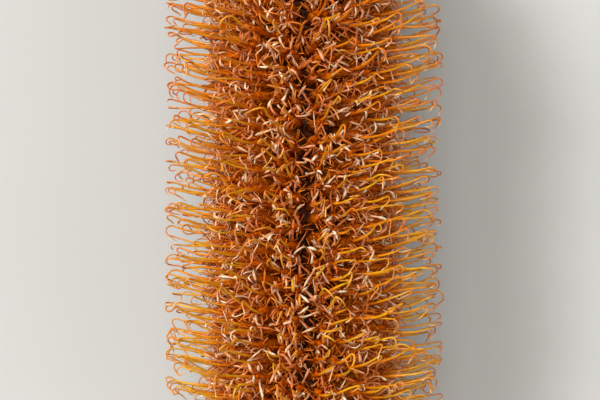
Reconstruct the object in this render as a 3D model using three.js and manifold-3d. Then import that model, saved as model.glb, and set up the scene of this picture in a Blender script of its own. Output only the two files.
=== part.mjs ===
// The flower spike ("cone") of a hairpin banksia, as picked and laid on its side.
// A woody axis carries pairs of small brown florets in 14 straight columns, with a deep furrow between
// columns. An orange wiry style stands out of a floret and ends in a hairpin hook towards the foot.
// Millimetres, +Z up. The spike lies along Y with its tip at +Y, and the origin is under its middle, on
// the surface that it rests on. The hooks under it are pressed flat and carry it.
import * as THREE from "three";
import { mergeVertices } from "three/addons/utils/BufferGeometryUtils.js";
import Module from "manifold-3d";

// Driving dimensions: lengths in millimetres, angles in degrees.
const AXIS_HEIGHT = 31; // the spike's middle line above the surface
const AXIS_RADIUS = 6.5; // the woody axis that the florets grow from
const AXIS_LENGTH = 130; // from the spike's foot to the axis's rounded end
const AXIS_DOME = 14; // how much of that length is the rounded end
const FLORET_LENGTH = 18; // from the woody axis to the brown surface of the spike
const STYLE_REACH = 28.4; // from the woody axis to the furthest point of a hook
const FOOT_START = 1; // along the axis, where the lowest florets grow
const FOOT_LEAN = -50; // the lowest florets point back along the stem
const FOOT_END = 18; // along the axis, where florets reach their main lean
const MAIN_LEAN = 6; // a little towards the tip

const COLUMNS = 14; // pairs of florets, in straight columns
const PAIR_HALF_ANGLE = 5; // from the middle of a column to each floret of a pair
const ROW_SPACING = 3.15; // between rows, measured on the brown surface
const VALLEY_DEPTH = 7; // of the gaps between florets, below their ends
const FURROW_DEPTH = 12; // of the furrows between columns
const FLORET_LOOSE = 0.8; // how far a floret's end strays, each way
const VALLEY_LOOSE = 0.3;
const FURROW_LOOSE = 0.6;
const TIP_DIMPLE = 3; // how far the middle of the tip is below the ends of the florets round it

const STYLE_RADIUS = 0.42; // of a style's three-sided section
const STYLE_ROOT = 5; // how far below its floret's end a style starts
const STYLE_ASIDE = 1; // from the middle of its floret, towards the tip
const STYLE_RISE = 0.06; // towards the tip, as a share of the way out
const STYLE_RISE_LOOSE = 0.05;
const STYLE_SWAY = 0.07; // round the axis, either way, as a share of the way out
const STYLE_SHORT = 2; // the most that a style falls short of its full reach
const HOOK_RADIUS = 1.8;
const HOOK_TAIL = 2.6;
const HOOK_TURN = 45; // the most that a hook turns aside from pointing at the foot
const STYLE_EVERY = 3; // one floret in this many shows its style

const STEM_LENGTH = 42; // below the foot
const STEM_RADIUS = 3.9; // at the cut
const STEM_TOP_RADIUS = 5;
const SOCKET_DEPTH = 12; // how far the stem runs into the foot of the spike
const GAP = 0.3; // between touching pieces

const radians = THREE.MathUtils.degToRad;
const { lerp, smoothstep } = THREE.MathUtils;

// A repeatable random number from 0 to 1.
let seed = 20;
function random() {
  seed = (seed * 1664525 + 1013904223) % 4294967296;
  return seed / 4294967296;
}
const spread = (size) => (random() * 2 - 1) * size;

// The brown surface's outline from the lowest florets to the tip: round the foot, straight, and over
// the dome.
const FOOT_ARC = 33;
const STRAIGHT = AXIS_LENGTH - AXIS_DOME - FOOT_END;
const DOME_ARC = 40;
const OUTLINE = FOOT_ARC + STRAIGHT + DOME_ARC;
const ROWS = Math.floor(OUTLINE / ROW_SPACING);

// Where a floret grows, at a length along that outline: along the axis, out from it, and its lean.
function footAt(length) {
  if (length < FOOT_ARC) {
    const t = length / FOOT_ARC;
    return {
      along: lerp(FOOT_START, FOOT_END, t),
      out: AXIS_RADIUS,
      lean: radians(lerp(FOOT_LEAN, MAIN_LEAN, smoothstep(t, 0, 1))),
    };
  }
  const past = length - FOOT_ARC - STRAIGHT;
  if (past < 0)
    return { along: FOOT_END + length - FOOT_ARC, out: AXIS_RADIUS, lean: radians(MAIN_LEAN) };
  const turn = (past / DOME_ARC) * (Math.PI / 2);
  return {
    along: AXIS_LENGTH - AXIS_DOME + AXIS_DOME * Math.sin(turn),
    out: AXIS_RADIUS * Math.cos(turn),
    lean: lerp(radians(MAIN_LEAN), Math.PI / 2, past / DOME_ARC),
  };
}

// A floret's own directions: where it grows, which way it points, and across it towards the tip and
// round the axis.
function floretFrame(length, angle) {
  const { along, out, lean } = footAt(length);
  const radial = new THREE.Vector3(Math.cos(angle), 0, Math.sin(angle));
  const axial = new THREE.Vector3(0, 1, 0);
  return {
    foot: radial.clone().multiplyScalar(out).addScaledVector(axial, along),
    point: radial.clone().multiplyScalar(Math.cos(lean)).addScaledVector(axial, Math.sin(lean)),
    tipward: axial.clone().multiplyScalar(Math.cos(lean)).addScaledVector(radial, -Math.sin(lean)),
    around: new THREE.Vector3(-Math.sin(angle), 0, Math.cos(angle)),
  };
}
const COLUMN_ANGLE = (2 * Math.PI) / COLUMNS;
const furrowAngle = (column) => Math.PI / 2 + column * COLUMN_ANGLE;

// The two florets of a pair stand a row apart, and each column is a row out of step with the next.
const isFloret = (column, side, row) => (column + side + row) % 2 === 0;
const floretAngle = (column, side) =>
  furrowAngle(column + 0.5) + (side ? 1 : -1) * radians(PAIR_HALF_ANGLE);

// The head's surface is a net of rings. In each ring a column has a point down in its furrow and a
// point on each of its two lines of florets, which is a floret's end or the valley between two.
const POINTS_A_RING = 3 * COLUMNS;
function florets() {
  const rings = [];
  for (let row = 0; row < ROWS; row++) {
    const ring = [];
    for (let column = 0; column < COLUMNS; column++) {
      const length = (row + 0.5) * ROW_SPACING;
      const deep = floretFrame(length, furrowAngle(column));
      const furrow = FLORET_LENGTH - FURROW_DEPTH + spread(FURROW_LOOSE);
      ring.push(deep.foot.addScaledVector(deep.point, furrow));
      for (const side of [0, 1]) {
        const f = floretFrame(length, floretAngle(column, side));
        const end = isFloret(column, side, row) ? 0 : VALLEY_DEPTH;
        const loose = end ? VALLEY_LOOSE : FLORET_LOOSE;
        ring.push(
          f.foot
            .addScaledVector(f.point, FLORET_LENGTH - end + spread(loose))
            .addScaledVector(f.tipward, spread(loose))
            .addScaledVector(f.around, spread(loose)),
        );
      }
    }
    rings.push(ring);
  }
  return rings;
}

// A round ring of plain points, for the socket that the stem runs into.
function plainRing(along, radius) {
  return Array.from({ length: POINTS_A_RING }, (_, i) => {
    const angle = furrowAngle(i / 3);
    return new THREE.Vector3(radius * Math.cos(angle), along, radius * Math.sin(angle));
  });
}

// A closed mesh over rings of equally many points, from one pole on the axis to another.
function skinOver(firstPole, rings, lastPole) {
  const points = [firstPole, ...rings.flat(), lastPole];
  const count = rings[0].length;
  const index = [];
  const at = (ring, i) => 1 + ring * count + (i % count);
  for (let i = 0; i < count; i++) {
    index.push(0, at(0, i), at(0, i + 1));
    for (let ring = 0; ring + 1 < rings.length; ring++) {
      const [a, b] = [at(ring, i), at(ring, i + 1)];
      const [c, d] = [at(ring + 1, i), at(ring + 1, i + 1)];
      // The diagonal joins the two points nearer the axis, so that each floret stays a separate peak.
      const high = (p) => points[p].x ** 2 + points[p].z ** 2;
      if (high(a) + high(d) > high(b) + high(c)) index.push(a, c, b, b, c, d);
      else index.push(a, d, b, a, c, d);
    }
    index.push(points.length - 1, at(rings.length - 1, i + 1), at(rings.length - 1, i));
  }
  const geometry = new THREE.BufferGeometry().setFromPoints(points);
  return geometry.setIndex(index);
}

// A hooked style: a three-sided wire through five places, ending in a point.
function styleOf(frame, bow) {
  const { foot, point, tipward, around } = frame;
  const hook = tipward
    .clone()
    .multiplyScalar(-Math.cos(bow.turn))
    .addScaledVector(around, Math.sin(bow.turn));
  const place = (out, across) => {
    const p = foot
      .clone()
      .addScaledVector(point, out)
      .addScaledVector(hook, across)
      .addScaledVector(tipward, bow.rise * out)
      .addScaledVector(around, bow.sway * out);
    p.z = Math.max(p.z, -AXIS_HEIGHT); // the surface bends what would reach below it
    return p;
  };
  const top = STYLE_REACH - bow.short;
  const path = [
    place(FLORET_LENGTH - STYLE_ROOT, 0),
    place(top - HOOK_RADIUS, 0),
    place(top, HOOK_RADIUS * 0.8),
    place(top - HOOK_RADIUS, HOOK_RADIUS * 2),
    place(top - HOOK_RADIUS - HOOK_TAIL, HOOK_RADIUS * 1.9),
  ];
  const tip = path.pop();
  const side = new THREE.Vector3().crossVectors(point, hook).normalize();
  const rings = path.map((p, i) => {
    const before = path[Math.max(i - 1, 0)];
    const after = path[i + 1] ?? tip;
    const ahead = after.clone().sub(before).normalize();
    const upper = new THREE.Vector3().crossVectors(side, ahead).normalize();
    return [0, 1, 2].map((corner) => {
      const angle = (-corner * 2 * Math.PI) / 3;
      return p
        .clone()
        .addScaledVector(upper, STYLE_RADIUS * Math.cos(angle))
        .addScaledVector(side, STYLE_RADIUS * Math.sin(angle));
    });
  });
  return skinOver(path[0], rings, tip);
}

// Each chosen floret's style, with its own small differences in lean, reach and turn of its hook.
function styles() {
  const made = [];
  for (let row = 0; row < ROWS; row++)
    for (let column = 0; column < COLUMNS; column++) {
      if ((row + column) % STYLE_EVERY) continue;
      const side = isFloret(column, 0, row) ? 0 : 1;
      const frame = floretFrame((row + 0.5) * ROW_SPACING, floretAngle(column, side));
      frame.foot.addScaledVector(frame.tipward, STYLE_ASIDE);
      const bow = {
        turn: radians(spread(HOOK_TURN)),
        rise: STYLE_RISE + spread(STYLE_RISE_LOOSE),
        sway: spread(STYLE_SWAY),
        short: random() * STYLE_SHORT,
      };
      made.push(styleOf(frame, bow));
    }
  return made;
}

// Joining and cutting.
const wasm = await Module();
wasm.setup();

function solidOf(geometry) {
  const bare = geometry.clone();
  bare.deleteAttribute("normal");
  bare.deleteAttribute("uv");
  const merged = mergeVertices(bare, 1e-4);
  const vertProperties = merged.attributes.position.array;
  const triVerts = new Uint32Array(merged.index.array);
  return new wasm.Manifold(new wasm.Mesh({ numProp: 3, vertProperties, triVerts }));
}

function geometryOf(solid) {
  const mesh = solid.getMesh();
  const geometry = new THREE.BufferGeometry()
    .setAttribute("position", new THREE.BufferAttribute(mesh.vertProperties, 3))
    .setIndex(new THREE.BufferAttribute(mesh.triVerts, 1));
  geometry.computeVertexNormals();
  return geometry;
}

// Styles that cross can close off a hollow or cut a scrap loose: the one is filled, the other dropped.
function largestBody(solid) {
  return solid.decompose().reduce((a, b) => (b.volume() > a.volume() ? b : a));
}

// The flower head: the florets on their core, with a socket for the stem, and the styles. The surface
// under it trims the hooks that lie on it to a flat.
function flowerHead() {
  const socket = STEM_TOP_RADIUS + GAP;
  const rim = -0.5;
  const flare = 1.5;
  const inner = [
    plainRing(SOCKET_DEPTH, socket),
    plainRing(rim, socket),
    plainRing(-flare, socket + flare),
  ];
  const core = skinOver(
    new THREE.Vector3(0, SOCKET_DEPTH, 0),
    [...inner, ...florets()],
    new THREE.Vector3(0, AXIS_LENGTH + FLORET_LENGTH - TIP_DIMPLE, 0),
  );
  const joined = wasm.Manifold.union([core, ...styles()].map(solidOf));
  const cut = 4 * AXIS_LENGTH; // reaches past the spike on every side
  const under = new THREE.BoxGeometry(cut, cut, cut).translate(0, 0, -cut / 2 - AXIS_HEIGHT);
  return geometryOf(largestBody(joined.subtract(solidOf(under))));
}

// The cut stem, with the swellings of old leaf joints, and its end inside the spike's foot.
function stem() {
  const outline = [
    [0, -STEM_LENGTH],
    [STEM_RADIUS - 0.4, -STEM_LENGTH],
    [STEM_RADIUS, -STEM_LENGTH + 0.5],
    [STEM_RADIUS + 0.1, -33],
    [STEM_RADIUS + 0.8, -30.5],
    [STEM_RADIUS + 0.2, -28],
    [STEM_RADIUS + 0.3, -17],
    [STEM_RADIUS + 1, -14.5],
    [STEM_RADIUS + 0.5, -12],
    [STEM_TOP_RADIUS, -6],
    [STEM_TOP_RADIUS + 0.9, -3],
    [STEM_TOP_RADIUS, -1.5],
    [STEM_TOP_RADIUS, SOCKET_DEPTH - GAP],
    [0, SOCKET_DEPTH - GAP],
  ];
  return new THREE.LatheGeometry(
    outline.map(([radius, along]) => new THREE.Vector2(radius, along)),
    20,
  );
}

const petalBrown = new THREE.MeshStandardMaterial({ color: 0xb8621f, roughness: 0.7, metalness: 0 });
const barkBrown = new THREE.MeshStandardMaterial({ color: 0x6b4a33, roughness: 0.9, metalness: 0 });

function piece(name, geometry, material) {
  const mesh = new THREE.Mesh(geometry, material);
  mesh.name = name;
  return mesh;
}

const cone = new THREE.Group();
cone.add(piece("flower_head", flowerHead(), petalBrown));
cone.add(piece("stem", stem(), barkBrown));
const middle = new THREE.Box3().setFromObject(cone).getCenter(new THREE.Vector3());
cone.position.set(0, -middle.y, AXIS_HEIGHT);

export default cone;
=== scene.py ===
import math

import bpy
import numpy as np
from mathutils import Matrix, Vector


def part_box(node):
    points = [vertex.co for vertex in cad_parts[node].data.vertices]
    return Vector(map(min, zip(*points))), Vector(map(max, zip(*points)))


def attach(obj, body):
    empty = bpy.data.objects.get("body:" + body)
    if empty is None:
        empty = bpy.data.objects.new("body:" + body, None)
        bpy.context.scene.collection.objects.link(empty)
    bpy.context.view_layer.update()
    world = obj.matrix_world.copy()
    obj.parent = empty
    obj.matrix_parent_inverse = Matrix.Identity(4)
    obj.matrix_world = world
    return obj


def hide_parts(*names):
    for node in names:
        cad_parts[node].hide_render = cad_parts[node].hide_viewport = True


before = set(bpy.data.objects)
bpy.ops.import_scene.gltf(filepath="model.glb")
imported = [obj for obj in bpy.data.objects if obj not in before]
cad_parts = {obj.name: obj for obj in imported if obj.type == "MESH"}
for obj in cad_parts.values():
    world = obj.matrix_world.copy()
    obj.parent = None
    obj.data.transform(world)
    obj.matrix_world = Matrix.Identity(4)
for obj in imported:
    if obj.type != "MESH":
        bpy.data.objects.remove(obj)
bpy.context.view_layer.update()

# Lengths are in millimetres until a mesh is made. Angles with a name in capitals are in degrees.
MM = 0.001

# The spike's form, as in the solid model.
AXIS_HEIGHT = 31.0
AXIS_RADIUS = 6.5
AXIS_LENGTH = 130.0
AXIS_DOME = 14.0
FLORET_LENGTH = 18.0
STYLE_REACH = 28.4
FOOT_START, FOOT_END = 1.0, 18.0
FOOT_LEAN, MAIN_LEAN = -50.0, 6.0
FOOT_ARC, DOME_ARC = 33.0, 40.0
STRAIGHT = AXIS_LENGTH - AXIS_DOME - FOOT_END
OUTLINE = FOOT_ARC + STRAIGHT + DOME_ARC
COLUMNS = 14
STEM_LENGTH = 42.0

# The flowers' own sizes.
LEVEL = 3.8  # from one pair of a column to the next
FIRST_LEVEL, STAGGER = 0.3, 0.5  # in levels: where columns start, and how much further on every other one
PAIR_HALF_ANGLE = 4.6
FURROW_ANGLE = 88.0  # of the furrow that faces up, half way along the spike
TWIST = 0.05  # degrees that the columns turn in each millimetre of the spike
UNEVEN_LENGTH, UNEVEN_ANGLE, UNEVEN_LEAN = 0.22, 2.0, 2.0  # standard deviations of where they grow
CROWDED_REACH = 15.0  # a ring whose flowers end at least this far out has room for all of them
TUBE_LENGTH = 13.6
TEPALS, FIBRES = 4, 12  # of each flower

# How far along Y the spike's foot lies.
FOOT_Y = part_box("stem")[0].y / MM + STEM_LENGTH
UP = np.array([0.0, 0.0, 1.0])
ALONG = np.array([0.0, 1.0, 0.0])

rng = np.random.default_rng(7)


def between(low, high, count):
    return rng.uniform(low, high, count)


def smooth(t):
    t = np.clip(t, 0, 1)
    return t * t * (3 - 2 * t)


def unit(vectors):
    return vectors / np.linalg.norm(vectors, axis=-1, keepdims=True)


def srgb(red, green, blue):
    """A colour as seen, from 0 to 255, as the linear colour that a shader takes."""
    seen = np.array([red, green, blue]) / 255
    linear = np.where(seen <= 0.04045, seen / 12.92, ((seen + 0.055) / 1.055) ** 2.4)
    return (*map(float, linear), 1.0)


# Where the flowers grow.


def foot_at(length):
    """Where a flower grows at a length along the brown outline: along the axis, out from it, its lean."""
    t = length / FOOT_ARC
    past = (length - FOOT_ARC - STRAIGHT) / DOME_ARC
    turn = np.clip(past, 0, 1) * math.pi / 2
    along = np.where(t < 1, FOOT_START + (FOOT_END - FOOT_START) * t, FOOT_END + length - FOOT_ARC)
    along = np.where(past > 0, AXIS_LENGTH - AXIS_DOME + AXIS_DOME * np.sin(turn), along)
    out = AXIS_RADIUS * np.cos(turn)
    lean = np.radians(FOOT_LEAN + (MAIN_LEAN - FOOT_LEAN) * smooth(t))
    lean = np.where(past > 0, lean + (math.pi / 2 - lean) * np.clip(past, 0, 1), lean)
    return along, out, lean


class Flowers:
    """Each flower's foot and its three directions: the way it points, towards the tip, and around."""

    def __init__(self):
        column, side, level = np.meshgrid(
            np.arange(COLUMNS), [0, 1], np.arange(int(OUTLINE / LEVEL) + 1), indexing="ij"
        )
        column, side, level = column.ravel(), side.ravel(), level.ravel()
        length = (level + FIRST_LEVEL + STAGGER * (column % 2)) * LEVEL
        length = np.clip(length + rng.normal(0, UNEVEN_LENGTH, len(level)), 0, OUTLINE)
        along, out, lean = foot_at(length)
        crowd = (out + FLORET_LENGTH * np.cos(lean)) / CROWDED_REACH
        kept = rng.random(len(level)) < crowd
        column, side, along, out, lean = (v[kept] for v in (column, side, along, out, lean))
        self.count = len(along)
        self.share = along / AXIS_LENGTH
        angle = FURROW_ANGLE + (column + 0.5) * 360 / COLUMNS + np.where(side, 1, -1) * PAIR_HALF_ANGLE
        angle += TWIST * (along - AXIS_LENGTH / 2) + rng.normal(0, UNEVEN_ANGLE, self.count)
        self.angle = np.radians(angle)
        self.column, self.side = column, side
        lean += np.radians(rng.normal(0, UNEVEN_LEAN, self.count))
        radial = np.stack([np.cos(self.angle), 0 * lean, np.sin(self.angle)], axis=1)
        cos, sin = np.cos(lean)[:, None], np.sin(lean)[:, None]
        self.foot = radial * out[:, None] + ALONG * (along + FOOT_Y)[:, None] + UP * AXIS_HEIGHT
        self.point = radial * cos + ALONG * sin
        self.tipward = ALONG * cos - radial * sin
        self.around = np.stack([-np.sin(self.angle), 0 * lean, np.cos(self.angle)], axis=1)


def rest_on_floor(points, radius):
    """Bends what would reach below the surface to lie on it."""
    high = points[..., 2] - radius
    soft = 0.5
    points[..., 2] = radius + soft * np.logaddexp(0, high / soft)
    return points


# Meshes.


def piece_of(name, points, faces, material, slot, node, **values):
    """A smooth mesh piece that stands for a CAD node, with a number per point under each given name."""
    mesh = bpy.data.meshes.new(name)
    mesh.from_pydata((points * MM).tolist(), [], faces)
    mesh.shade_smooth()
    for key, numbers in values.items():
        mesh.attributes.new(key, "FLOAT", "POINT").data.foreach_set("value", numbers.astype("f"))
    mesh.materials.append(material)
    piece = bpy.data.objects.new(name, mesh)
    bpy.context.scene.collection.objects.link(piece)
    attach(piece, "root")
    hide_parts(node)


def strands(centres, wide, high, across, sides, groove=1.0):
    """Closed strands along rows of centres. Each section is wide across and high the other way, and
    groove sets how far its lower side stands out."""
    count, steps = centres.shape[:2]
    ahead = unit(np.gradient(centres, axis=1))
    across = unit(across - ahead * (across * ahead).sum(-1, keepdims=True))
    over = np.cross(across, ahead)
    turn = np.arange(sides) * 2 * math.pi / sides
    lift = np.where(np.sin(turn) < -1e-6, np.sin(turn) * groove, np.sin(turn))
    rings = (
        centres[:, :, None]
        + across[:, :, None] * wide[:, :, None, None] * np.cos(turn)[:, None]
        + over[:, :, None] * high[:, :, None, None] * lift[:, None]
    )
    ends = centres[:, [0, -1]] + ahead[:, [0, -1]] * (wide[:, [0, -1]] * [-0.6, 0.6])[..., None]
    points = np.concatenate([rings.reshape(count, -1, 3), ends], axis=1)
    ring = np.arange(sides)
    after = (ring + 1) % sides
    faces = []
    for step in range(steps - 1):
        low, top = step * sides, (step + 1) * sides
        faces.append(np.stack([low + ring, low + after, top + after, top + ring], axis=1))
    first, last = steps * sides, steps * sides + 1
    top = (steps - 1) * sides
    caps = [
        np.stack([after, ring, np.full(sides, first)], axis=1),
        np.stack([top + ring, top + after, np.full(sides, last)], axis=1),
    ]
    offsets = (np.arange(count) * points.shape[1])[:, None, None]
    quads = (np.concatenate(faces)[None] + offsets).reshape(-1, 4)
    fans = (np.concatenate(caps)[None] + offsets).reshape(-1, 3)
    return points.reshape(-1, 3), quads.tolist() + fans.tolist()


def per_point(numbers, sides):
    """Numbers given for each ring of each strand, as one for each of its points."""
    rings = np.repeat(numbers, sides, axis=1)
    return np.concatenate([rings, numbers[:, [0, -1]]], axis=1).ravel()


def lathe(rings):
    """A closed mesh over rings of equally many points, with a pole at the middle of each end ring."""
    count, around = rings.shape[:2]
    points = np.concatenate([rings.reshape(-1, 3), [rings[0].mean(0), rings[-1].mean(0)]])
    ring = np.arange(around)
    after = (ring + 1) % around
    faces = []
    for step in range(count - 1):
        low, top = step * around, (step + 1) * around
        faces += np.stack([low + ring, top + ring, top + after, low + after], axis=1).tolist()
    first, last = count * around, count * around + 1
    faces += np.stack([ring, after, np.full(around, first)], axis=1).tolist()
    top = (count - 1) * around
    faces += np.stack([top + after, top + ring, np.full(around, last)], axis=1).tolist()
    return points, faces


# Materials.


class Shader:
    """A material or node group under construction."""

    def __init__(self, tree):
        self.tree = tree

    def add(self, kind, settings=None, **inputs):
        """A new node. An input goes by its socket's name, or by its number as _0, _1 and so on."""
        node = self.tree.nodes.new(kind)
        for key, value in (settings or {}).items():
            setattr(node, key, value)
        for key, value in inputs.items():
            socket = node.inputs[int(key[1:]) if key[1:].isdigit() else key.replace("_", " ")]
            if isinstance(value, bpy.types.NodeSocket):
                self.tree.links.new(value, socket)
            else:
                socket.default_value = value
        return node

    def number(self, name):
        return self.add("ShaderNodeAttribute", {"attribute_name": name}).outputs["Fac"]

    def math(self, operation, *values, clamp=False):
        inputs = {f"_{i}": value for i, value in enumerate(values)}
        settings = {"operation": operation, "use_clamp": clamp}
        return self.add("ShaderNodeMath", settings, **inputs).outputs[0]

    def ramp(self, value, *stops):
        node = self.add("ShaderNodeValToRGB", Fac=value)
        while len(node.color_ramp.elements) < len(stops):
            node.color_ramp.elements.new(1.0)
        for element, (place, colour) in zip(node.color_ramp.elements, stops):
            element.position = place
            element.color = colour
        return node.outputs["Color"]

    def mix(self, share, first, second, blend="MIX"):
        settings = {"data_type": "RGBA", "blend_type": blend}
        return self.add("ShaderNodeMix", settings, _0=share, _6=first, _7=second).outputs[2]


def plant_fibre_group():
    """Fine unevenness that all the plant's surfaces share: a light and dark mottle, and its relief."""
    tree = bpy.data.node_groups.new("plant_fibre", "ShaderNodeTree")
    scale = tree.interface.new_socket("Grain", in_out="INPUT", socket_type="NodeSocketFloat")
    scale.default_value = 900.0
    stretch = tree.interface.new_socket("Stretch", in_out="INPUT", socket_type="NodeSocketVector")
    stretch.default_value = (1.0, 1.0, 1.0)
    tree.interface.new_socket("Mottle", in_out="OUTPUT", socket_type="NodeSocketFloat")
    tree.interface.new_socket("Relief", in_out="OUTPUT", socket_type="NodeSocketFloat")
    build = Shader(tree)
    given = build.add("NodeGroupInput").outputs
    place = build.add("ShaderNodeTexCoord").outputs["Object"]
    stretched = build.add(
        "ShaderNodeVectorMath", {"operation": "MULTIPLY"}, _0=place, _1=given["Stretch"]
    ).outputs[0]
    coarse = build.add(
        "ShaderNodeTexNoise", Vector=stretched, Scale=given["Grain"], Detail=3.0, Roughness=0.6
    ).outputs["Fac"]
    finer = build.math("MULTIPLY", given["Grain"], 4.0)
    fine = build.add(
        "ShaderNodeTexNoise", Vector=stretched, Scale=finer, Detail=2.0, Roughness=0.5
    ).outputs["Fac"]
    put_out = build.add("NodeGroupOutput")
    tree.links.new(coarse, put_out.inputs["Mottle"])
    tree.links.new(build.math("ADD", build.math("MULTIPLY", coarse, 0.6), fine), put_out.inputs["Relief"])
    return tree


plant_fibre = plant_fibre_group()


def plant_material(name, colour_of, grain, relief, stretch=(1, 1, 1), **finish):
    """A material whose colour comes from colour_of(build, mottle), over the shared fibre relief."""
    material = bpy.data.materials.new(name)
    material.use_nodes = True
    tree = material.node_tree
    tree.nodes.clear()
    build = Shader(tree)
    fibre = build.add(
        "ShaderNodeGroup", {"node_tree": plant_fibre}, Grain=grain, Stretch=stretch
    ).outputs
    bump = build.add("ShaderNodeBump", Strength=0.7, Distance=relief * MM, Height=fibre["Relief"])
    colour = colour_of(build, fibre["Mottle"])
    surface = build.add(
        "ShaderNodeBsdfPrincipled", Base_Color=colour, Normal=bump.outputs[0], **finish
    )
    build.add("ShaderNodeOutputMaterial", Surface=surface.outputs[0])
    return material


def style_colour(build, mottle):
    """Orange among the florets, golden past them, orange at the hook and pale at the very end. They are
    redder towards the tip of the spike."""
    along, tone, age = build.number("along"), build.number("tone"), build.number("age")
    golden = build.ramp(
        along,
        (0.00, srgb(186, 80, 0)),
        (0.40, srgb(218, 128, 4)),
        (0.58, srgb(215, 156, 16)),
        (0.74, srgb(208, 150, 18)),
        (0.87, srgb(192, 119, 14)),
        (0.94, srgb(200, 134, 46)),
        (1.00, srgb(236, 210, 164)),
    )
    red = build.ramp(
        along,
        (0.00, srgb(178, 70, 0)),
        (0.40, srgb(213, 110, 2)),
        (0.58, srgb(211, 124, 8)),
        (0.74, srgb(204, 112, 8)),
        (0.87, srgb(189, 87, 8)),
        (0.94, srgb(196, 106, 36)),
        (1.00, srgb(232, 190, 144)),
    )
    # The share of red grows by 0.85 from foot to tip, and differs by up to 0.9 between styles.
    own_age = build.math("MULTIPLY_ADD", tone, 0.9, -0.5)
    share = build.math("MULTIPLY_ADD", age, 0.85, own_age, clamp=True)
    own = build.mix(share, golden, red)
    shade = build.ramp(mottle, (0.3, srgb(215, 205, 195)), (0.7, srgb(255, 255, 255)))
    return build.mix(1.0, own, shade, "MULTIPLY")


def tepal_colour(build, mottle):
    """Rusty claws whose ends are rust, pinkish tan or cream."""
    tone = build.number("tone")
    claw = build.ramp(
        tone,
        (0.0, srgb(192, 86, 14)),
        (0.6, srgb(210, 121, 52)),
        (1.0, srgb(218, 147, 90)),
    )
    end = build.ramp(
        tone,
        (0.00, srgb(204, 105, 24)),
        (0.20, srgb(180, 98, 52)),
        (0.40, srgb(214, 148, 104)),
        (0.55, srgb(222, 168, 130)),
        (0.68, srgb(224, 184, 142)),
        (0.84, srgb(230, 204, 164)),
        (1.00, srgb(238, 220, 188)),
    )
    own = build.mix(build.number("limb"), claw, end)
    shade = build.ramp(mottle, (0.3, srgb(190, 180, 170)), (0.7, srgb(255, 255, 255)))
    return build.mix(1.0, own, shade, "MULTIPLY")


def tube_colour(build, mottle):
    """Orange-brown, darker at both ends."""
    side = build.ramp(
        build.number("along"),
        (0.0, srgb(140, 58, 0)),
        (0.6, srgb(216, 113, 14)),
        (0.85, srgb(208, 102, 12)),
        (1.0, srgb(186, 80, 0)),
    )
    shade = build.ramp(mottle, (0.35, srgb(170, 160, 150)), (0.65, srgb(255, 255, 255)))
    return build.mix(1.0, side, shade, "MULTIPLY")


def hair_colour(build, mottle):
    """Rust-brown at the root, tan or orange at the end."""
    dull = build.ramp(build.number("along"), (0.0, srgb(162, 66, 4)), (1.0, srgb(205, 104, 20)))
    bright = build.ramp(build.number("along"), (0.0, srgb(188, 86, 6)), (1.0, srgb(224, 142, 60)))
    return build.mix(build.math("MULTIPLY", build.number("tone"), mottle), dull, bright)


def felt_colour(dark, light):
    return lambda build, mottle: build.ramp(mottle, (0.35, dark), (0.7, light))


def bark_colour(build, mottle):
    """Grey-brown bark with fine cracks along it, and pale wood with rings at the cut."""
    settings = {"node_tree": plant_fibre}
    fine = build.add("ShaderNodeGroup", settings, Grain=1500.0, Stretch=(1, 0.22, 1)).outputs["Mottle"]
    patches = build.ramp(
        mottle,
        (0.34, srgb(84, 58, 40)),
        (0.50, srgb(122, 92, 66)),
        (0.64, srgb(158, 128, 98)),
    )
    cracks = build.ramp(
        fine,
        (0.36, srgb(96, 84, 76)),
        (0.50, srgb(215, 208, 200)),
        (0.62, srgb(255, 252, 246)),
    )
    outside = build.mix(1.0, patches, cracks, "MULTIPLY")
    wood = build.ramp(
        build.number("ring"),
        (0.00, srgb(120, 86, 52)),
        (0.12, srgb(206, 174, 124)),
        (0.80, srgb(216, 186, 138)),
        (0.90, srgb(150, 104, 62)),
        (1.00, srgb(96, 66, 42)),
    )
    return build.mix(build.number("cut"), outside, wood)


style_wax = plant_material(
    "style_wax", style_colour, 500.0, 0.02, Roughness=0.36, Specular_IOR_Level=0.35
)
tepal_skin = plant_material(
    "tepal_skin", tepal_colour, 900.0, 0.05, Roughness=0.6, Specular_IOR_Level=0.22
)
tube_felt = plant_material(
    "tube_felt", tube_colour, 900.0, 0.15, Roughness=0.9, Specular_IOR_Level=0.0
)
rusty_hair = plant_material(
    "rusty_hair", hair_colour, 900.0, 0.02, Roughness=0.8, Specular_IOR_Level=0.04
)
axis_felt = plant_material(
    "axis_felt", felt_colour(srgb(70, 28, 6), srgb(124, 58, 14)), 700.0, 0.2, Roughness=0.95
)
bark = plant_material("bark", bark_colour, 520.0, 0.7, stretch=(1, 0.4, 1), Roughness=0.88)


# The flowers.

flowers = Flowers()
N = flowers.count


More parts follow.
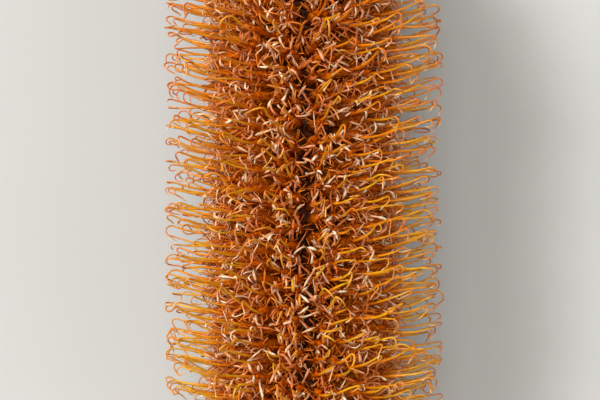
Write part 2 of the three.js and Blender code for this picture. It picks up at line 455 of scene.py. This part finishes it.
def hooked_styles():
    """The wiry styles: a bowed shaft out of the flower, a hairpin turn, and a short thin end."""
    start = 8.0
    sides = 5
    shaft_steps, hook_steps, end_steps = 6, 6, 2
    hook_radius, tightest, widest = 1.0, 0.42, 2.2
    short_share = 0.16
    reach = STYLE_REACH - 0.1 - np.abs(rng.normal(0, 0.7, N))
    reach -= np.where(rng.random(N) < short_share, between(1, 6, N), 0)
    radius = np.clip(rng.lognormal(math.log(hook_radius), 0.42, N), tightest, widest)
    lean = np.radians(rng.normal(7, 3, N))
    bow = np.radians(rng.normal(-24, 6, N))
    turn = np.radians(np.clip(rng.normal(162, 42, N), 45, 240))
    end = between(0.8, 3.4, N)

    # The angle of each step from the flower's own way. A shaft bends most near its end.
    shaft = lean[:, None] + bow[:, None] * ((np.arange(shaft_steps) + 0.5) / shaft_steps) ** 2.4
    bent = ((np.arange(hook_steps) + 0.5) / hook_steps) ** 1.25
    hook = (lean + bow)[:, None] + (turn - lean - bow)[:, None] * bent
    last = turn[:, None] + np.radians(rng.normal(-8, 22, N))[:, None] * np.array([0.5, 1.0])
    hook_step = (radius * (turn - lean - bow) / hook_steps)[:, None]
    end_step = end[:, None] / end_steps
    past_shaft = np.concatenate([np.cos(hook) * hook_step, np.cos(last) * end_step], axis=1)
    beyond = np.cumsum(past_shaft, axis=1).max(axis=1)
    shaft_step = ((reach - start - beyond) / np.cos(shaft).sum(axis=1))[:, None]
    step = np.concatenate(
        [
            np.repeat(shaft_step, shaft_steps, axis=1),
            np.repeat(hook_step, hook_steps, axis=1),
            np.repeat(end_step, end_steps, axis=1),
        ],
        axis=1,
    )
    angle = np.concatenate([shaft, hook, last], axis=1)
    nought = np.zeros((N, 1))
    out = start + np.concatenate([nought, np.cumsum(np.cos(angle) * step, axis=1)], axis=1)
    aside = np.concatenate([nought, np.cumsum(np.sin(angle) * step, axis=1)], axis=1)
    length = np.concatenate([nought, np.cumsum(step, axis=1)], axis=1)
    along = length / length[:, -1:]

    hook_side = np.radians(rng.normal(0, 46, N))
    towards = -flowers.tipward * np.cos(hook_side)[:, None] + flowers.around * np.sin(hook_side)[:, None]
    sideways = np.cross(flowers.point, towards)
    sway = rng.normal(0, 0.8, N)[:, None] * along + rng.normal(0, 0.8, N)[:, None] * along**2
    sway += rng.normal(0, 0.5, N)[:, None] * np.sin(along * 6 + between(0, 6, N)[:, None])
    rise = rng.normal(0.6, 0.6, N)[:, None] * along
    centres = (
        flowers.foot[:, None]
        + flowers.point[:, None] * out[..., None]
        + towards[:, None] * aside[..., None]
        + sideways[:, None] * sway[..., None]
        + flowers.tipward[:, None] * rise[..., None]
    )
    centres = rest_on_floor(centres, radius=0.3)
    thick_at = [0, 0.4, 0.6, 0.77, 0.9, 0.97, 1]
    thick = np.interp(along, thick_at, [0.42, 0.36, 0.28, 0.215, 0.18, 0.2, 0.1])
    thick = thick * between(0.85, 1.15, N)[:, None]
    steps = out.shape[1]
    across = np.repeat(sideways[:, None], steps, axis=1)
    points, faces = strands(centres, thick, thick, across, sides)
    tone = np.repeat(rng.random(N)[:, None], steps, axis=1)
    age = np.repeat(flowers.share[:, None], steps, axis=1)
    values = {"along": along, "tone": tone, "age": age}
    values = {key: per_point(numbers, sides) for key, numbers in values.items()}
    piece_of("styles", points, faces, style_wax, "styles", "flower_head", **values)


def split_tepals(name, chosen):
    """The four tepals of each chosen flower, curled apart, each a thin claw with a boat-shaped end."""
    sides, steps = 4, 7
    claw_start, claw_length, apart = 7.0, 12.0, 1.1
    index = np.repeat(np.nonzero(chosen)[0], TEPALS)
    count = len(index)
    point, tipward, around = (v[index] for v in (flowers.point, flowers.tipward, flowers.around))

    # The four lie at the corners of their flower.
    way = np.radians(np.tile([33, 147, 213, 327], count // TEPALS) + rng.normal(0, 24, count))
    lateral = tipward * np.cos(way)[:, None] + around * np.sin(way)[:, None]
    split = TUBE_LENGTH + rng.normal(0.8, 0.8, count)
    free = between(4.6, 7.8, count)
    curl = np.radians(np.clip(rng.normal(72, 40, count), 6, 160))

    # Those that stand up are shorter, and paler: partly their own fading where exposed, partly painted
    # highlight where they reach out into the light. Those beside a furrow curl a little less.
    standing = np.clip(1 - curl / math.radians(110), 0, 1)
    free *= 1 - 0.25 * standing
    facing = np.sin(way) * np.where(flowers.side[index], 1, -1)
    curl *= 1 - 0.03 * np.clip(facing, 0, 1)

    # Each curls outwards first, and kinks further on in a way of its own.
    t = np.linspace(0, 1, steps)
    angle = curl[:, None] * smooth(t / 0.6)[None]
    angle += np.radians(rng.normal(0, 42, count))[:, None] * np.sin(t * math.pi * 1.6)[None]
    angle += np.radians(rng.normal(0, 38, count))[:, None] * (t > 0.55)[None]
    angle[:, 0] = 0
    step = free[:, None] / (steps - 1)
    middle = (angle[:, 1:] + angle[:, :-1]) / 2
    rise = np.cumsum(np.cos(middle) * step, axis=1)
    aside = np.cumsum(np.sin(middle) * step, axis=1)
    base_out = split[:, None] + np.array([-claw_start, -3.0, 0.0])
    base_aside = np.tile([0.4, 0.8, apart], (count, 1))
    out = np.concatenate([base_out, split[:, None] + rise], axis=1)
    aside = np.concatenate([base_aside, apart + aside], axis=1)
    bend = (out - split[:, None] + claw_start) / claw_length
    sway = rng.normal(0, 0.9, count)[:, None] * bend**2
    sway += rng.normal(0, 0.6, count)[:, None] * np.sin(bend * 8 + between(0, 6, count)[:, None])
    sideways = np.cross(point, lateral)
    centres = (
        flowers.foot[index][:, None]
        + point[:, None] * out[..., None]
        + lateral[:, None] * aside[..., None]
        + sideways[:, None] * sway[..., None]
    )
    place = np.concatenate([[-0.9, -0.3, 0.0], t[1:]])
    section_at = [-1, -0.3, 0, 0.5, 0.66, 0.84, 1.0]
    wide = np.interp(place, section_at, [0.6, 0.55, 0.34, 0.2, 0.32, 0.34, 0.08])
    high = np.interp(place, section_at, [0.3, 0.25, 0.17, 0.13, 0.24, 0.26, 0.1])
    size = between(0.85, 1.15, count)[:, None]
    roll = np.radians(rng.normal(0, 35, count))[:, None] * smooth(place)[None]
    ahead = unit(np.gradient(centres, axis=1))
    sideways = np.repeat(sideways[:, None], len(place), axis=1)
    across = sideways * np.cos(roll)[..., None] + np.cross(ahead, sideways) * np.sin(roll)[..., None]
    centres = rest_on_floor(centres, radius=0.5)
    points, faces = strands(centres, wide * size, high * size, across, sides, groove=0.35)
    limb = np.interp(place, [0.0, 0.45, 0.6, 0.9, 1.0], [0.0, 0.55, 1.0, 1.0, 0.65])
    limb = np.repeat(limb[None], count, axis=0)
    # Standing tepals get paler ends: partly their own fading, partly painted highlight.
    pale = rng.beta(1.1, 1.7, count) + 0.4 * standing + rng.normal(0, 0.12, N)[index] - 0.08
    pale = np.clip(pale, 0, 1)
    tone = np.repeat(pale[:, None], len(place), axis=1)
    values = {"limb": per_point(limb, sides), "tone": per_point(tone, sides)}
    piece_of(name, points, faces, tepal_skin, "florets", "flower_head", **values)


def floret_tubes():
    """The closed lower part of each flower, packed against its neighbours."""
    sides = 7
    place = np.array([-0.8, 3.0, 7.5, TUBE_LENGTH - 1, TUBE_LENGTH + 2])
    centres = flowers.foot[:, None] + flowers.point[:, None] * place[:, None]
    size = between(0.9, 1.15, N)[:, None]
    wide = np.array([0.8, 1.2, 1.35, 1.0, 0.35]) * size
    across = np.repeat(flowers.around[:, None], len(place), axis=1)
    points, faces = strands(centres, wide, wide, across, sides)
    along = per_point(np.repeat(place[None] / place[-1], N, axis=0), sides)
    piece_of("floret_tubes", points, faces, tube_felt, "florets", "flower_head", along=along)


def floret_hairs(name, chosen):
    """The rusty fibres that stand off the outside of each chosen flower."""
    sides = 3
    index = np.repeat(np.nonzero(chosen)[0], FIBRES)
    count = len(index)
    point, tipward, around = (v[index] for v in (flowers.point, flowers.tipward, flowers.around))
    way = between(0, 2 * math.pi, count)
    lateral = tipward * np.cos(way)[:, None] + around * np.sin(way)[:, None]
    start = between(7.5, TUBE_LENGTH + 0.8, count)
    reach = between(3.0, 5.2, count)
    spread = np.radians(between(8, 55, count))
    t = np.array([0.0, 0.5, 1.0])
    out = start[:, None] + reach[:, None] * np.cos(spread)[:, None] * t
    aside = 0.8 + reach[:, None] * np.sin(spread)[:, None] * t**1.3
    sway = rng.normal(0, 0.7, count)[:, None] * t**2
    sideways = np.cross(point, lateral)
    centres = (
        flowers.foot[index][:, None]
        + point[:, None] * out[..., None]
        + lateral[:, None] * aside[..., None]
        + sideways[:, None] * sway[..., None]
    )
    centres = rest_on_floor(centres, radius=0.4)
    wide = np.tile([0.26, 0.22, 0.08], (count, 1)) * between(0.7, 1.3, count)[:, None]
    across = np.repeat(sideways[:, None], len(t), axis=1)
    points, faces = strands(centres, wide, wide * 0.7, across, sides)
    tone = np.repeat(rng.random(count)[:, None], len(t), axis=1)
    values = {"along": per_point(np.tile(t, (count, 1)), sides), "tone": per_point(tone, sides)}
    piece_of(name, points, faces, rusty_hair, "florets", "flower_head", **values)


def woolly_bracts():
    """The felted knob at the foot of each pair of flowers, set into the woody axis."""
    sides = 8
    index = np.nonzero(flowers.side == 0)[0]
    turned = flowers.angle[index] + math.radians(PAIR_HALF_ANGLE)
    radial = np.stack([np.cos(turned), 0 * turned, np.sin(turned)], axis=1)
    middle = flowers.foot[index] * [0, 1, 0] + UP * AXIS_HEIGHT
    out = np.linalg.norm((flowers.foot[index] - middle), axis=1)[:, None]
    start = middle + radial * out - ALONG * 1.2
    place = np.array([-0.8, 0.6, 1.8, 2.6])
    centres = start[:, None] + radial[:, None] * place[:, None]
    wide = np.tile([1.0, 1.5, 1.3, 0.6], (len(index), 1))
    across = np.repeat(np.cross(ALONG, radial)[:, None], len(place), axis=1)
    points, faces = strands(centres, wide, wide * 0.75, across, sides)
    piece_of("bracts", points, faces, axis_felt, "axis", "flower_head")


def rings_round_axis(place, size):
    """A ring round the axis at each place along it, with the given size at each of its points."""
    angle = np.linspace(0, 2 * math.pi, size.shape[1], endpoint=False)
    around = np.stack([np.cos(angle), 0 * angle, np.sin(angle)], axis=1)
    return around * size[..., None] + ALONG * (place + FOOT_Y)[:, None, None] + UP * AXIS_HEIGHT


def woody_axis():
    """The thick stalk that the flowers grow from."""
    straight_rings, dome_rings, sides = 40, 8, 32
    foot_start, foot_radius, tip_radius = -1.5, 5.0, 0.2
    dome_start = AXIS_LENGTH - AXIS_DOME
    turn = np.linspace(0, math.pi / 2, dome_rings + 1)[1:]
    straight = np.linspace(foot_start, dome_start, straight_rings)
    place = np.concatenate([straight, dome_start + (AXIS_DOME - 0.5) * np.sin(turn)])
    dome = (AXIS_RADIUS - tip_radius) * np.cos(turn) + tip_radius
    radius = np.concatenate([np.full(straight_rings, AXIS_RADIUS), dome])
    radius[0] = foot_radius
    size = np.repeat(radius[:, None], sides, axis=1)
    points, faces = lathe(rings_round_axis(place, size))
    piece_of("woody_axis", points, faces, axis_felt, "axis", "flower_head")


def cut_stem():
    """The stem with its bark, the swellings of old leaf joints, and its square cut."""
    sides, bark_rings = 56, 110
    inner_end = 4.0
    scar_length, scar_width, scar_radius = 1.6, 1.7, 4.5
    scar_height, pit_depth = 0.75, 0.5
    profile = [
        (-STEM_LENGTH, 3.45),
        (-STEM_LENGTH + 0.3, 3.8),
        (-33.0, 4.0),
        (-30.5, 4.6),
        (-28.0, 4.1),
        (-17.0, 4.2),
        (-14.5, 4.8),
        (-12.0, 4.4),
        (-6.0, 4.9),
        (-3.0, 5.6),
        (-1.5, 5.0),
        (inner_end, 4.9),
    ]
    rim = np.linspace(-STEM_LENGTH, -STEM_LENGTH + 0.4, 4)
    place = np.concatenate([rim, np.linspace(-STEM_LENGTH + 0.8, inner_end, bark_rings)])
    radius = np.interp(place, *zip(*profile))
    angle = np.linspace(0, 2 * math.pi, sides, endpoint=False)

    # Each wave of the bark: how many round the stem, its pitch along it, where it starts and its height.
    waves = [(3, 0.31, 0.4, 0.10), (5, 0.83, 2.0, 0.07), (9, 1.7, 1.0, 0.05), (2, 0.12, 5, 0.12)]
    rough = sum(
        np.sin(angle[None] * number + place[:, None] * pitch + start) * height
        for number, pitch, start, height in waves
    )
    rough += rng.normal(0, 0.03, rough.shape)
    rough *= smooth((place + STEM_LENGTH) / 1.5)[:, None]
    size = radius[:, None] + rough

    # Where the old leaf scars are along the stem and around it: each a swelling with a small pit.
    scars = [(-30.5, 1.2), (-29.8, 3.4), (-31.4, 5.3), (-14.5, 0.2), (-15.0, 2.3), (-13.8, 4.4)]
    for along, around in scars:
        away = np.angle(np.exp(1j * (angle[None] - around)))
        near = ((place[:, None] - along) / scar_length) ** 2 + (away * scar_radius / scar_width) ** 2
        size += scar_height * np.exp(-near) - pit_depth * np.exp(-near * 7)
    rings = rings_round_axis(place, size)

    # The cut face, in rings from its middle to the rim.
    cut_shares = (0.15, 0.4, 0.65, 0.85, 0.97, 1.0)
    middle = ALONG * (FOOT_Y - STEM_LENGTH) + UP * AXIS_HEIGHT
    inner = [middle + (rings[0] - middle) * share for share in cut_shares[:-1]]
    rings = np.concatenate([np.array(inner), rings])
    points, faces = lathe(rings)
    cut = np.zeros(len(rings))
    cut[: len(cut_shares)] = 1
    ring = np.zeros(len(rings))
    ring[: len(cut_shares)] = cut_shares
    spread = [np.repeat(v, rings.shape[1]) for v in (cut, ring)]
    values = {"cut": np.append(spread[0], [1, 0]), "ring": np.append(spread[1], [0, 0])}
    piece_of("cut_stem", points, faces, bark, "bark", "stem", **values)


hooked_styles()
even = (flowers.column + flowers.side) % 2 == 0
split_tepals("tepals_left", even)
split_tepals("tepals_right", ~even)
floret_tubes()
floret_hairs("fibres_left", even)
floret_hairs("fibres_right", ~even)
woolly_bracts()
woody_axis()
cut_stem()


# The surface, the light and the camera.


def pale_floor():
    mesh = bpy.data.meshes.new("floor")
    half = 12000 * MM
    corners = [(-half, -half, 0), (half, -half, 0), (half, half, 0), (-half, half, 0)]
    mesh.from_pydata(corners, [], [(0, 1, 2, 3)])
    floor = bpy.data.objects.new("floor", mesh)
    bpy.context.scene.collection.objects.link(floor)
    material = bpy.data.materials.new("pale_floor")
    material.use_nodes = True
    build = Shader(material.node_tree)
    build.tree.nodes.clear()
    place = build.add("ShaderNodeTexCoord").outputs["Object"]
    noise = build.add("ShaderNodeTexNoise", Vector=place, Scale=3.0, Detail=4.0).outputs["Fac"]
    colour = build.ramp(noise, (0.3, srgb(158, 157, 154)), (0.7, srgb(165, 164, 161)))
    surface = build.add("ShaderNodeBsdfPrincipled", Base_Color=colour, Roughness=0.8)
    build.add("ShaderNodeOutputMaterial", Surface=surface.outputs[0])
    mesh.materials.append(material)


def soft_light(name, way, spread, strength):
    """A wide, even light from far off: the way to it from the spike, and how many degrees it fills."""
    light = bpy.data.lights.new(name, "SUN")
    light.angle = math.radians(spread)
    light.energy = strength
    lamp = bpy.data.objects.new(name, light)
    lamp.location = way
    lamp.rotation_euler = Vector(way).to_track_quat("Z", "Y").to_euler()
    bpy.context.scene.collection.objects.link(lamp)


def soft_world():
    """Warm, even light from all round, that keeps the shadows soft."""
    world = bpy.data.worlds.new("studio")
    world.use_nodes = True
    world.node_tree.nodes["Background"].inputs["Color"].default_value = (1.0, 0.96, 0.89, 1.0)
    world.node_tree.nodes["Background"].inputs["Strength"].default_value = 0.52
    bpy.context.scene.world = world


def overhead_camera():
    """Looks straight down on the spike, which fills the picture from top to bottom."""
    picture_width, sensor_width = 150.0, 36.0
    distance = 560.0
    aim_across, aim_along = -0.9, FOOT_Y + 66.0
    data = bpy.data.cameras.new("camera")
    data.sensor_width = sensor_width
    data.lens = sensor_width * distance / picture_width
    data.clip_start = 0.01
    camera = bpy.data.objects.new("camera", data)
    camera.location = (aim_across * MM, aim_along * MM, (AXIS_HEIGHT + distance) * MM)
    camera.rotation_euler = (0, 0, 0)
    bpy.context.scene.collection.objects.link(camera)
    bpy.context.scene.camera = camera


pale_floor()
soft_light("key", (-2.5, 1.5, 2.6), spread=20, strength=4.65)
soft_light("front", (-0.2, 0.4, 3.8), spread=28, strength=1.35)
soft_light("fill", (2.8, -1.0, 2.4), spread=36, strength=0.9)
soft_world()
overhead_camera()
bpy.context.scene.view_settings.view_transform = "Standard"
